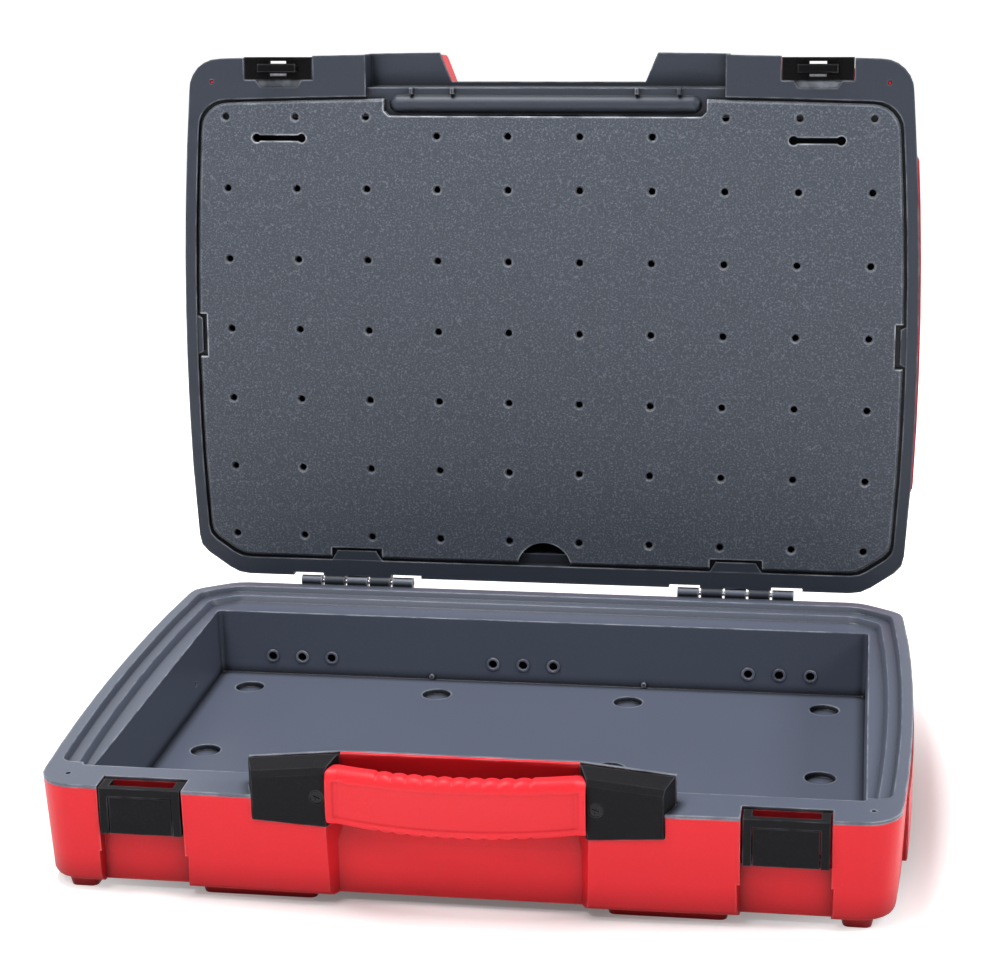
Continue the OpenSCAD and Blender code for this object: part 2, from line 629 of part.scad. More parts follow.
// Cut-out of the panel round the lid's bar.
function bar_notch() = let (w = bar_half + bar_r + 3.5, y0 = -half_d)
    [[-w, y0], [w, y0], [w, bar_y + bar_r - 1.5], [w - 3.5, bar_y + bar_r + 2],
        [-w + 3.5, bar_y + bar_r + 2], [-w, bar_y + bar_r - 1.5]];

// ---- hinge pins ---------------------------------------------------------------

module hinge_pin(side) color([0.75, 0.76, 0.78])
    rod_x(side * hinge_x - hinge_w / 2 + 0.5, side * hinge_x + hinge_w / 2 - 0.5, axis_y, axis_z, pin_r);
module left_hinge_pin() hinge_pin(-1);
module right_hinge_pin() hinge_pin(1);

// ---- handle -------------------------------------------------------------------

module handle_bracket() color([0.1, 0.1, 0.11]) in_base() difference() {
    intersection() {
        translate([0, 0, -handle_down - 5]) linear_extrude(handle_down + handle_up + 9)
            polygon(bracket_plan(0));
        along_y(-half_d, -half_d + recess_d - fit, bracket_face(0));
        // the top slopes to the front and ends in a bevel, lower at the outer end
        multmatrix([[1, 0, 0, 0], [0, 1, 0, 0], [-0.1, 0, 1, 0.1 * bracket_in], [0, 0, 0, 1]])
            along_x(bracket_in - 20, bracket_out + 20, [[-half_d, -handle_down - 20],
                [-half_d + recess_d, -handle_down - 20], [-half_d + recess_d, handle_up + 0.3],
                [-half_d + 2.4, handle_up - 3], [-half_d, handle_up - 6.6]]);
    }
    // socket of the handle core's tongue, its screw, and the fixing screws
    box([bracket_in - 12, tongue_y - core_t / 2 - 0.1, -core_h / 2 + 0.9],
        [bracket_in + 14.1, tongue_y + core_t / 2 + 0.1, core_h / 2 + 1.1]);
    translate([handle_screw_x, -half_d - 1, 1]) rotate([-90, 0, 0]) {
        cylinder(h = head_h + 1.3, r = head_r + 0.4);
        cylinder(h = 14, r = screw_r + 0.05);
    }
    for (x = bracket_screw_x) translate([x, -half_d + recess_d + 1, bracket_screw_z])
        rotate([90, 0, 0]) cylinder(h = 9.5, r = screw_r + 0.05);
}
module right_handle_bracket() handle_bracket();
module left_handle_bracket() mirror([1, 0, 0]) handle_bracket();

// Middle line of the core and the grip in plan.
function grip_y(x) = tongue_y - grip_bow * max(0, 1 - pow(x / (grip_w / 2 - 6.5), 2));
function core_plan(g) = let (xs = [for (i = [-12 : 12]) i * grip_w / 24], e = bracket_in + 14)
    concat([[-e, tongue_y - core_t / 2 - g]], [for (x = xs) [x, grip_y(x) - core_t / 2 - g]],
        [[e, tongue_y - core_t / 2 - g], [e, tongue_y + core_t / 2 + g]],
        [for (i = [24 : -1 : 0]) [xs[i], grip_y(xs[i]) + core_t / 2 + g]],
        [[-e, tongue_y + core_t / 2 + g]]);
module handle_core() color([0.12, 0.12, 0.13]) in_base() difference() {
    translate([0, 0, 1 - core_h / 2]) linear_extrude(core_h) polygon(core_plan(0));
    both_sides() translate([handle_screw_x, -half_d - 1, 1]) rotate([-90, 0, 0])
        cylinder(h = 16, r = screw_r + 0.05);
}
// Rounded section of the grip at x: [y, z] points, rounder than an ellipse
// and deeper in front of the core than behind it, more so at its ends.
function grip_section(x) = let (k = pow(x / (grip_w / 2), 2), h = grip_h / 2 - k, back = grip_t / 2 - 0.8)
    [for (i = [0 : 27]) let (a = i * 360 / 28, c = cos(a), s = sin(a), t = c > 0 ? back : grip_t - back + 2.6 * k)
        [grip_y(x) + t * sign(c) * pow(abs(c), 0.55), 1 + h * sign(s) * pow(abs(s), 0.55)]];
module handle_grip() color([0.88, 0.22, 0.24]) in_base() difference() {
    xs = [for (i = [-8 : 8]) (grip_w / 2 - 0.3) * i / 8];
    n = 28;
    polyhedron(
        points = [for (x = xs) for (p = grip_section(x)) [x, p.x, p.y]],
        faces = concat([[for (i = [n - 1 : -1 : 0]) i]],
            [for (k = [0 : len(xs) - 2]) for (i = [0 : n - 1])
                let (j = (i + 1) % n, a = k * n) [a + i, a + n + j, a + n + i]],
            [for (k = [0 : len(xs) - 2]) for (i = [0 : n - 1])
                let (j = (i + 1) % n, a = k * n) [a + i, a + j, a + n + j]],
            [[for (i = [0 : n - 1]) (len(xs) - 1) * n + i]]));
    translate([0, 0, 1 - core_h / 2 - 0.05]) linear_extrude(core_h + 0.1) polygon(core_plan(0.05));
    both_sides() translate([0, 0, -grip_h]) linear_extrude(2 * grip_h) {
        polygon(bracket_plan(fit));
        // and the slanted sides of the recess
        translate([recess_top_w / 2 - fit, -half_d])
            polygon([[0, 0], [-recess_slope, recess_d], [recess_slope, recess_d]]);
    }
}
module handle_screws() color([0.2, 0.2, 0.21]) in_base() for (side = [-1, 1])
    screw_y(side * handle_screw_x, -half_d + head_h + 0.3, 1, screw_l, 25);
module bracket_screws() color([0.6, 0.6, 0.62]) in_base() for (side = [-1, 1]) for (x = bracket_screw_x)
    translate([0, 2 * (-half_d + recess_d + shell_t), 0]) mirror([0, 1, 0])
        screw_y(side * x, -half_d + recess_d + shell_t, bracket_screw_z, screw_l);

// ---- latches ------------------------------------------------------------------

// Lever plate with two flanges that carry both pins.
module latch_lever(side) color([0.12, 0.12, 0.13]) in_base() at_latch(side) difference() {
    union() {
        box([-lever_w / 2, 0.5, -latch_h], [lever_w / 2, 0.5 + lever_t, -6.5]);
        for (s = [-1, 1]) let (x0 = s > 0 ? flange_x - flange_t : -flange_x)
            along_x(x0, x0 + flange_t, [[0.5 + lever_t - hair, -latch_h + 0.6],
                [0.5 + lever_t - hair, -7], [lever_pin.x + 2.4, -7.4], [loop_pin.x + 2.6, loop_pin.y + 3],
                [loop_pin.x + 2.6, -latch_h + 0.6]]);
    }
    rod_x(-lever_w, lever_w, lever_pin.x, lever_pin.y, latch_pin_r + pin_clear);
    rod_x(-lever_w, lever_w, loop_pin.x, loop_pin.y, latch_pin_r + pin_clear);
}
// Loop: two legs, a top bar with a lip that catches the keeper, and two arms.
module latch_loop(side) color([0.14, 0.14, 0.15]) in_base() at_latch(side) {
    w = latch_w / 2;
    difference() {
        union() {
            for (s = [-1, 1]) let (x0 = s > 0 ? w - leg_w : -w)
                along_x(x0, x0 + leg_w, [[0, -latch_h], [loop_pin.x + 1.8, -latch_h], [loop_pin.x + 2.6, -latch_h + 1],
                    [loop_pin.x + 2.6, loop_pin.y + 3], [5, -14], [5, -4.5], [13.5, -4.5],
                    [13.5, loop_top], [0, loop_top]]);
            along_x(-w + leg_w - hair, w - leg_w + hair, [[0, -6], [bar_t, -6], [bar_t, loop_top - 1.7],
                [bar_t + lip_reach, loop_top - 1.7], [bar_t + lip_reach, loop_top], [0, loop_top]]);
        }
        rod_x(-w - 1, w + 1, loop_pin.x, loop_pin.y, latch_pin_r + pin_clear);
    }
}
module lever_pin_rod(side) color([0.7, 0.7, 0.72]) in_base() at_latch(side)
    rod_x(-flange_x - 0.2, flange_x + 0.2, lever_pin.x, lever_pin.y, latch_pin_r);
module loop_pin_rod(side) color([0.7, 0.7, 0.72]) in_base() at_latch(side)
    rod_x(-latch_w / 2, latch_w / 2, loop_pin.x, loop_pin.y, latch_pin_r);
module left_latch_lever() latch_lever(-1);
module right_latch_lever() latch_lever(1);
module left_latch_loop() latch_loop(-1);
module right_latch_loop() latch_loop(1);
module left_lever_pin() lever_pin_rod(-1);
module right_lever_pin() lever_pin_rod(1);
module left_loop_pin() loop_pin_rod(-1);
module right_loop_pin() loop_pin_rod(1);

// Keeper in the lid: a block with a hooked tongue that the loop's lip catches.
module latch_keeper(side) color([0.08, 0.08, 0.09]) in_lid() at_latch(side) difference() {
    w = keeper_tongue_w / 2;
    union() {
        box([-latch_w / 2, fit, -keeper_plate], [latch_w / 2, pocket_d - 0.05, 0]);
        both_sides() box([keeper_screw_x - 6, pocket_d - 8, -keeper_t], [latch_w / 2, pocket_d - 0.05, 0]);
        along_x(-w, w, [[6.3, -1], [6.3, tongue_l - 2], [4.8, tongue_l - 2], [4.8, tongue_l - 0.6],
            [5.4, tongue_l], [10.3, tongue_l], [10.3, -1]]);
    }
    for (y = [3, 11.6]) box([-5.8, y, -keeper_plate - 1], [5.8, y + 1.8, 1]);
    for (x = [-1, 1]) translate([x * keeper_screw_x, pocket_d + 1, keeper_screw_z])
        rotate([90, 0, 0]) cylinder(h = 8, r = screw_r + 0.05);
}
module left_latch_keeper() latch_keeper(-1);
module right_latch_keeper() latch_keeper(1);
module keeper_screws() color([0.6, 0.6, 0.62]) in_lid() for (side = [-1, 1]) for (x = [-1, 1])
    translate([0, 2 * (latch_front + pocket_d + shell_t), 0]) mirror([0, 1, 0])
        screw_y(side * latch_x + x * keeper_screw_x, latch_front + pocket_d + shell_t, keeper_screw_z, screw_l - 2);

base_shell();
base_liner();
lid_shell();
lid_liner();
tool_panel();
left_hinge_pin();
right_hinge_pin();
left_handle_bracket();
right_handle_bracket();
handle_core();
handle_grip();
handle_screws();
bracket_screws();
left_latch_lever();
right_latch_lever();
left_latch_loop();
right_latch_loop();
left_lever_pin();
right_lever_pin();
left_loop_pin();
right_loop_pin();
left_latch_keeper();
right_latch_keeper();
keeper_screws();
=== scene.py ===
import math

import bpy
import numpy as np
from mathutils import Matrix, Vector


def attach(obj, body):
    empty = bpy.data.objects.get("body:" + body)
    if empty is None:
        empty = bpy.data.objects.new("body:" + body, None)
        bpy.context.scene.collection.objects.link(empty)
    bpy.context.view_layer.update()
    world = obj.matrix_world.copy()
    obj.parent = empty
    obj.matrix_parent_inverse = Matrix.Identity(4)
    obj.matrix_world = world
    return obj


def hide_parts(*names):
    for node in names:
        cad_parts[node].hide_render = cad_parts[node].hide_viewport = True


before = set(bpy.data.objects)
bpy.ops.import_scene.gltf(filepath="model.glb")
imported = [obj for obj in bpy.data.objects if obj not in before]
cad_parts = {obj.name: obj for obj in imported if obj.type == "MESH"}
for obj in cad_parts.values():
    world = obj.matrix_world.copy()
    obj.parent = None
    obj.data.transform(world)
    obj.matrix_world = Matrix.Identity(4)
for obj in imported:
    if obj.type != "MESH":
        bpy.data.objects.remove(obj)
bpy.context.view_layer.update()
scene = bpy.context.scene
scene.view_settings.view_transform = "Standard"

# ---- camera -------------------------------------------------------------------
# A long lens stands a little right of the middle and looks down into the open
# case from the front.
camera = bpy.data.objects.new("camera", bpy.data.cameras.new("camera"))
scene.collection.objects.link(camera)
camera.data.sensor_width = 36.0
camera.data.lens = 85.2257
camera.data.clip_start = 0.05
camera_right = Vector((0.98822502, 0.15210883, -0.01655948))
camera_up = Vector((-0.02666062, 0.2777516, 0.96028291))
camera_view = Vector((-0.15066693, 0.94853411, -0.2785364))
camera_turn = Matrix((camera_right, camera_up, -camera_view)).transposed().to_4x4()
camera.matrix_world = Matrix.Translation((0.22224778, -1.40265140, 0.61911747)) @ camera_turn
scene.camera = camera

# ---- floor, world and lamps ---------------------------------------------------
# A sheet of white paper under the case, an even white room, and four soft
# boxes: one overhead, one over the sheet in front, and a small one at each side.


def seen_rays(nodes, links):
    """A mask that is 1 for rays from the camera, from mirrors and through glass,
    and 0 for the light that falls on the case: the greatest of the three."""
    ray = nodes.new("ShaderNodeLightPath")
    seen_or_mirrored = nodes.new("ShaderNodeMath")
    seen_or_mirrored.operation = "MAXIMUM"
    links.new(ray.outputs["Is Camera Ray"], seen_or_mirrored.inputs[0])
    links.new(ray.outputs["Is Glossy Ray"], seen_or_mirrored.inputs[1])
    with_glass = nodes.new("ShaderNodeMath")
    with_glass.operation = "MAXIMUM"
    links.new(seen_or_mirrored.outputs[0], with_glass.inputs[0])
    links.new(ray.outputs["Is Transmission Ray"], with_glass.inputs[1])
    return with_glass.outputs[0]


floor_reach = 9.0
floor_mesh = bpy.data.meshes.new("floor")
floor_mesh.from_pydata(
    [(-floor_reach, -floor_reach, 0), (floor_reach, -floor_reach, 0),
     (floor_reach, floor_reach, 0), (-floor_reach, floor_reach, 0)], [], [(0, 1, 2, 3)])
floor = bpy.data.objects.new("floor", floor_mesh)
scene.collection.objects.link(floor)
paper = bpy.data.materials.new("white_paper")
paper.use_nodes = True
nodes, links = paper.node_tree.nodes, paper.node_tree.links
nodes.clear()
# The glow rises from the edge of the case outwards, so that the sheet ends in
# white. The distance is measured in an oval that fits the case.
sheet_place = nodes.new("ShaderNodeTexCoord")
sheet_oval = nodes.new("ShaderNodeVectorMath")
sheet_oval.operation = "MULTIPLY"
sheet_oval.inputs[1].default_value = (0.73, 1.0, 1.0)
links.new(sheet_place.outputs["Object"], sheet_oval.inputs[0])
sheet_far = nodes.new("ShaderNodeVectorMath")
sheet_far.operation = "LENGTH"
links.new(sheet_oval.outputs[0], sheet_far.inputs[0])
sheet_level = nodes.new("ShaderNodeMapRange")
sheet_level.interpolation_type = "SMOOTHSTEP"
sheet_level.inputs["From Min"].default_value = 0.17
sheet_level.inputs["From Max"].default_value = 0.31
sheet_level.inputs["To Min"].default_value = 0.15
sheet_level.inputs["To Max"].default_value = 1.0
links.new(sheet_far.outputs["Value"], sheet_level.inputs["Value"])
paper_glow = nodes.new("ShaderNodeMath")
paper_glow.operation = "MULTIPLY"
links.new(sheet_level.outputs["Result"], paper_glow.inputs[0])
links.new(seen_rays(nodes, links), paper_glow.inputs[1])
paper_diffuse = nodes.new("ShaderNodeBsdfDiffuse")
paper_diffuse.inputs["Color"].default_value = (0.8, 0.8, 0.8, 1)
paper_light = nodes.new("ShaderNodeEmission")
links.new(paper_glow.outputs[0], paper_light.inputs["Strength"])
paper_sum = nodes.new("ShaderNodeAddShader")
links.new(paper_diffuse.outputs[0], paper_sum.inputs[0])
links.new(paper_light.outputs[0], paper_sum.inputs[1])
paper_out = nodes.new("ShaderNodeOutputMaterial")
links.new(paper_sum.outputs[0], paper_out.inputs["Surface"])
floor_mesh.materials.append(paper)

room = bpy.data.worlds.new("room")
scene.world = room
room.use_nodes = True
nodes, links = room.node_tree.nodes, room.node_tree.links
nodes.clear()
room_level = nodes.new("ShaderNodeMapRange")
room_level.inputs["To Min"].default_value = 0.06
room_level.inputs["To Max"].default_value = 1.0
links.new(seen_rays(nodes, links), room_level.inputs["Value"])
room_light = nodes.new("ShaderNodeBackground")
room_light.inputs["Color"].default_value = (1, 1, 1, 1)
links.new(room_level.outputs["Result"], room_light.inputs["Strength"])
room_out = nodes.new("ShaderNodeOutputWorld")
links.new(room_light.outputs[0], room_out.inputs["Surface"])

soft_boxes = {
    # name: (place, aimed at, width, height, power, spread in degrees)
    "soft_box_above": ((-0.25, -0.04, 1.5), (0.0, 0.0, 0.1), 0.8, 0.45, 24.0, 180),
    "soft_box_front": ((-0.1, -1.0, 0.9), (-0.1, -1.0, 0.0), 1.6, 0.5, 23.0, 70),
    "soft_box_left": ((-0.6, -1.0, 1.5), (0.0, -0.15, 0.05), 0.7, 0.4, 8.0, 180),
    "soft_box_right": ((1.05, -0.1, 0.8), (0.0, 0.0, 0.0), 0.35, 0.35, 5.5, 180),
}
for name, (place, target, width, height, power, spread) in soft_boxes.items():
    lamp = bpy.data.lights.new(name, "AREA")
    lamp.shape = "RECTANGLE"
    lamp.size, lamp.size_y = width, height
    lamp.energy = power
    lamp.spread = math.radians(spread)
    holder = bpy.data.objects.new(name, lamp)
    scene.collection.objects.link(holder)
    holder.location = place
    holder.rotation_euler = (Vector(target) - Vector(place)).to_track_quat("-Z", "Y").to_euler()

# ---- base shell ---------------------------------------------------------------
# The outer half-shell of the base, injection moulded in red polypropylene. Its faces carry a fine
# spark-eroded grain, its edges carry a pale painted highlight, and its recesses and the gaps
# between pieces are darkened with painted shade.


def screen(r, g, b):
    """A colour written in screen values 0-255, turned into linear light."""
    c = np.array([r, g, b]) / 255.0
    lin = np.where(c <= 0.04045, c / 12.92, ((c + 0.055) / 1.055) ** 2.4)
    return (*lin.tolist(), 1.0)


def socket(tree, name, way, kind, value=None):
    """One named input or output of a node group, with its starting value."""
    made = tree.interface.new_socket(name=name, in_out=way, socket_type=kind)
    if value is not None:
        made.default_value = value
    return made


# moulded_skin: slow drift of the tone plus a fine grain. Colour is the base
# colour moved towards the fleck colour where a noise passes a threshold, and
# Height is the same noise, so that flecks are little hills.
skin = bpy.data.node_groups.new("moulded_skin", "ShaderNodeTree")
socket(skin, "Colour", "INPUT", "NodeSocketColor", (0.5, 0.5, 0.5, 1))
socket(skin, "Fleck Colour", "INPUT", "NodeSocketColor", (0.6, 0.6, 0.6, 1))
socket(skin, "Fleck Share", "INPUT", "NodeSocketFloat", 0.3)
socket(skin, "Grain Scale", "INPUT", "NodeSocketFloat", 900.0)
socket(skin, "Drift", "INPUT", "NodeSocketFloat", 0.1)
socket(skin, "Roughness", "INPUT", "NodeSocketFloat", 0.45)
socket(skin, "Colour", "OUTPUT", "NodeSocketColor")
socket(skin, "Roughness", "OUTPUT", "NodeSocketFloat")
socket(skin, "Height", "OUTPUT", "NodeSocketFloat")
nodes, links = skin.nodes, skin.links
given = nodes.new("NodeGroupInput")
result = nodes.new("NodeGroupOutput")
place = nodes.new("ShaderNodeTexCoord")
slow = nodes.new("ShaderNodeTexNoise")
slow.inputs["Scale"].default_value = 7.0
slow.inputs["Detail"].default_value = 4.0
slow.inputs["Roughness"].default_value = 0.6
links.new(place.outputs["Object"], slow.inputs["Vector"])
fine = nodes.new("ShaderNodeTexNoise")
fine.inputs["Detail"].default_value = 2.5
fine.inputs["Roughness"].default_value = 0.65
links.new(place.outputs["Object"], fine.inputs["Vector"])
links.new(given.outputs["Grain Scale"], fine.inputs["Scale"])
# tone factor = 1 + drift * (noise - 0.5) * 2
slow_centre = nodes.new("ShaderNodeMath")
slow_centre.operation = "MULTIPLY_ADD"
slow_centre.inputs[1].default_value = 2.0
slow_centre.inputs[2].default_value = -1.0
links.new(slow.outputs["Fac"], slow_centre.inputs[0])
tone = nodes.new("ShaderNodeMath")
tone.operation = "MULTIPLY_ADD"
tone.inputs[2].default_value = 1.0
links.new(slow_centre.outputs[0], tone.inputs[0])
links.new(given.outputs["Drift"], tone.inputs[1])
toned = nodes.new("ShaderNodeVectorMath")
toned.operation = "SCALE"
links.new(given.outputs["Colour"], toned.inputs[0])
links.new(tone.outputs[0], toned.inputs["Scale"])
fleck = nodes.new("ShaderNodeMapRange")
fleck.inputs["From Min"].default_value = 0.5
fleck.inputs["From Max"].default_value = 0.72
links.new(fine.outputs["Fac"], fleck.inputs["Value"])
fleck_share = nodes.new("ShaderNodeMath")
fleck_share.operation = "MULTIPLY"
links.new(fleck.outputs["Result"], fleck_share.inputs[0])
links.new(given.outputs["Fleck Share"], fleck_share.inputs[1])
flecked = nodes.new("ShaderNodeMix")
flecked.data_type = "RGBA"
links.new(fleck_share.outputs[0], flecked.inputs["Factor"])
links.new(toned.outputs[0], flecked.inputs["A"])
links.new(given.outputs["Fleck Colour"], flecked.inputs["B"])
gloss = nodes.new("ShaderNodeMath")
gloss.operation = "MULTIPLY_ADD"
gloss.inputs[1].default_value = 0.06
links.new(slow_centre.outputs[0], gloss.inputs[0])
links.new(given.outputs["Roughness"], gloss.inputs[2])
links.new(flecked.outputs["Result"], result.inputs["Colour"])
links.new(gloss.outputs[0], result.inputs["Roughness"])
links.new(fine.outputs["Fac"], result.inputs["Height"])

# The groove shade group: Colour is multiplied down to 1 - Depth where the open half of the
# surface is closed in within Reach, which is in grooves, inner corners, gaps between pieces and
# recesses under neighbouring pieces. This is painted shade, darkening the colour where shade
# falls.
grooves = bpy.data.node_groups.new("painted_groove_shade", "ShaderNodeTree")
socket(grooves, "Colour", "INPUT", "NodeSocketColor", (0.5, 0.5, 0.5, 1))
socket(grooves, "Reach", "INPUT", "NodeSocketFloat", 0.005)
socket(grooves, "Depth", "INPUT", "NodeSocketFloat", 0.5)
socket(grooves, "Colour", "OUTPUT", "NodeSocketColor")
nodes, links = grooves.nodes, grooves.links
given = nodes.new("NodeGroupInput")
result = nodes.new("NodeGroupOutput")
# occlusion within Reach, other pieces included, drives the painted shade
closed_in = nodes.new("ShaderNodeAmbientOcclusion")
closed_in.samples = 6
links.new(given.outputs["Reach"], closed_in.inputs["Distance"])
openness = nodes.new("ShaderNodeMapRange")
openness.inputs["From Min"].default_value = 0.96
openness.inputs["From Max"].default_value = 0.5
links.new(closed_in.outputs["AO"], openness.inputs["Value"])
dimming = nodes.new("ShaderNodeMath")
dimming.operation = "MULTIPLY"
links.new(openness.outputs["Result"], dimming.inputs[0])
links.new(given.outputs["Depth"], dimming.inputs[1])
left_over = nodes.new("ShaderNodeMath")
left_over.operation = "SUBTRACT"
left_over.inputs[0].default_value = 1.0
links.new(dimming.outputs[0], left_over.inputs[1])
dimmed = nodes.new("ShaderNodeVectorMath")
dimmed.operation = "SCALE"
links.new(given.outputs["Colour"], dimmed.inputs[0])
links.new(left_over.outputs[0], dimmed.inputs["Scale"])
links.new(dimmed.outputs[0], result.inputs["Colour"])

# The edge highlight group: Normal is rounded over each edge within Radius, and Colour goes
# towards the highlight colour where the surface is occluded from inside, which is only along
# outward edges. This lighter colour is a painted highlight on the edges, and a noise breaks the
# line up.
edge_highlight_paint = bpy.data.node_groups.new("painted_edge_highlights", "ShaderNodeTree")
socket(edge_highlight_paint, "Colour", "INPUT", "NodeSocketColor", (0.5, 0.5, 0.5, 1))
socket(edge_highlight_paint, "Highlight Colour", "INPUT", "NodeSocketColor", (0.7, 0.7, 0.7, 1))
socket(edge_highlight_paint, "Radius", "INPUT", "NodeSocketFloat", 0.0006)
socket(edge_highlight_paint, "Amount", "INPUT", "NodeSocketFloat", 0.5)
socket(edge_highlight_paint, "Colour", "OUTPUT", "NodeSocketColor")
socket(edge_highlight_paint, "Normal", "OUTPUT", "NodeSocketVector")
nodes, links = edge_highlight_paint.nodes, edge_highlight_paint.links
given = nodes.new("NodeGroupInput")
result = nodes.new("NodeGroupOutput")
rounding = nodes.new("ShaderNodeBevel")
rounding.samples = 6
links.new(given.outputs["Radius"], rounding.inputs["Radius"])
links.new(rounding.outputs["Normal"], result.inputs["Normal"])
near_edge = nodes.new("ShaderNodeAmbientOcclusion")
near_edge.inside = True
near_edge.only_local = True
near_edge.samples = 6
links.new(given.outputs["Radius"], near_edge.inputs["Distance"])
edge = nodes.new("ShaderNodeMapRange")
edge.inputs["From Min"].default_value = 0.92
edge.inputs["From Max"].default_value = 0.55
links.new(near_edge.outputs["AO"], edge.inputs["Value"])
place = nodes.new("ShaderNodeTexCoord")
highlight_breakup = nodes.new("ShaderNodeTexNoise")
highlight_breakup.inputs["Scale"].default_value = 70.0
highlight_breakup.inputs["Detail"].default_value = 3.0
links.new(place.outputs["Object"], highlight_breakup.inputs["Vector"])
highlight_breakup_range = nodes.new("ShaderNodeMapRange")
highlight_breakup_range.inputs["From Min"].default_value = 0.38
highlight_breakup_range.inputs["From Max"].default_value = 0.62
highlight_breakup_range.inputs["To Min"].default_value = 0.2
links.new(highlight_breakup.outputs["Fac"], highlight_breakup_range.inputs["Value"])
broken = nodes.new("ShaderNodeMath")
broken.operation = "MULTIPLY"
links.new(edge.outputs["Result"], broken.inputs[0])
links.new(highlight_breakup_range.outputs["Result"], broken.inputs[1])
# share of the painted edge highlight
highlight_share = nodes.new("ShaderNodeMath")
highlight_share.operation = "MULTIPLY"
links.new(broken.outputs[0], highlight_share.inputs[0])
links.new(given.outputs["Amount"], highlight_share.inputs[1])
blend = nodes.new("ShaderNodeMix")
blend.data_type = "RGBA"
links.new(highlight_share.outputs[0], blend.inputs["Factor"])
links.new(given.outputs["Colour"], blend.inputs["A"])
links.new(given.outputs["Highlight Colour"], blend.inputs["B"])
links.new(blend.outputs["Result"], result.inputs["Colour"])


def moulded(name, colour, fleck, share, highlight_to, amount, radius=0.0006, scale=900.0,
            drift=0.08, roughness=0.45, grain=0.05, specular=0.5, metallic=0.0,
            reach=0.004, depth=0.4):
    """A moulded plastic or plated metal: skin colour and grain, painted shade in grooves and
    recesses, a painted highlight along the edges, and a fine bump whose height in millimetres is
    grain."""
    made = bpy.data.materials.new(name)
    made.use_nodes = True
    nodes, links = made.node_tree.nodes, made.node_tree.links
    surface = nodes["Principled BSDF"]
    surface.inputs["Specular IOR Level"].default_value = specular
    surface.inputs["Metallic"].default_value = metallic
    body = nodes.new("ShaderNodeGroup")
    body.node_tree = skin
    body.inputs["Colour"].default_value = colour
    body.inputs["Fleck Colour"].default_value = fleck
    body.inputs["Fleck Share"].default_value = share
    body.inputs["Grain Scale"].default_value = scale
    body.inputs["Drift"].default_value = drift
    body.inputs["Roughness"].default_value = roughness
    shade = nodes.new("ShaderNodeGroup")
    shade.node_tree = grooves
    shade.inputs["Reach"].default_value = reach
    shade.inputs["Depth"].default_value = depth
    edges = nodes.new("ShaderNodeGroup")
    edges.node_tree = edge_highlight_paint
    # colour of the painted edge highlight
    edges.inputs["Highlight Colour"].default_value = highlight_to
    edges.inputs["Radius"].default_value = radius
    edges.inputs["Amount"].default_value = amount
    links.new(body.outputs["Colour"], shade.inputs["Colour"])
    links.new(shade.outputs["Colour"], edges.inputs["Colour"])
    links.new(edges.outputs["Colour"], surface.inputs["Base Color"])
    links.new(body.outputs["Roughness"], surface.inputs["Roughness"])
    bump = nodes.new("ShaderNodeBump")
    bump.inputs["Strength"].default_value = 1.0
    bump.inputs["Distance"].default_value = grain / 1000.0
    links.new(body.outputs["Height"], bump.inputs["Height"])
    links.new(edges.outputs["Normal"], bump.inputs["Normal"])
    links.new(bump.outputs["Normal"], surface.inputs["Normal"])
    return made


def coat(node, material, crease=32.0):
    """Gives a CAD piece its material and smooth curved faces. Only the piece's
    slots and modifiers change."""
    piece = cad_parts[node]
    for at in range(len(piece.material_slots)):
        piece.material_slots[at].material = material
    piece.data.shade_smooth()
    weld = piece.modifiers.new("weld", "WELD")
    weld.merge_threshold = 1e-5
    split = piece.modifiers.new("crease", "EDGE_SPLIT")
    split.split_angle = math.radians(crease)
    weigh = piece.modifiers.new("even_faces", "WEIGHTED_NORMAL")
    weigh.keep_sharp = True


# The pink edge colour is a painted highlight, and the 25 mm groove reach paints shade into the
# recess under the grip and the gaps between pieces.
red_moulding = moulded(
    "red_moulding", screen(238, 40, 50), fleck=screen(242, 56, 65), share=0.35,
    highlight_to=screen(244, 138, 138), amount=0.5, radius=0.0011, drift=0.05,
    roughness=0.42, grain=0.035, specular=0.22, reach=0.025, depth=0.6)
coat("base_shell", red_moulding)

# ---- base liner ---------------------------------------------------------------
# The inner tray of the base, moulded in slate-grey polypropylene with a deep
# pan, stepped rims and the lower hinge knuckles; it drops into the red shell.
# The pale edge colour is a painted highlight, and the full groove shade paints dark shade into
# the steps of the rims and other hollows.
slate_moulding = moulded(
    "slate_moulding", screen(84, 90, 105), fleck=screen(100, 106, 121), share=0.35,
    highlight_to=screen(196, 200, 210), amount=0.6, radius=0.0013, drift=0.06,
    roughness=0.38, grain=0.02, specular=0.35, reach=0.008, depth=1.0)
coat("base_liner", slate_moulding)

# ---- hinge pins ---------------------------------------------------------------
# Two straight steel wire pins with a bright drawn finish, one in each row of
# knuckles.
bright_steel = moulded(
    "bright_steel", screen(196, 197, 200), fleck=screen(214, 215, 218), share=0.3,
    highlight_to=screen(225, 225, 228), amount=0.2, radius=0.0003, scale=1500.0, drift=0.05,
    roughness=0.25, grain=0.004, metallic=1.0)
coat("left_hinge_pin", bright_steel)
coat("right_hinge_pin", bright_steel)

# ---- handle brackets ----------------------------------------------------------
# Two black nylon end pieces, screwed into pockets at the ends of the handle
# recess. Their tops slope forward to a bevel.
# The grey edge colour is a painted highlight on the edges.
black_nylon = moulded(
    "black_nylon", screen(30, 30, 32), fleck=screen(46, 46, 49), share=0.4,
    highlight_to=screen(112, 113, 118), amount=0.6, radius=0.0008, drift=0.1,
    roughness=0.5, grain=0.02, specular=0.04, reach=0.003, depth=0.7)
coat("left_handle_bracket", black_nylon)
coat("right_handle_bracket", black_nylon)

# ---- handle core --------------------------------------------------------------
# A bowed black bar of glass-filled nylon; its two tongues are screwed into the
# brackets and the grip is moulded round it.
coat("handle_core", black_nylon)

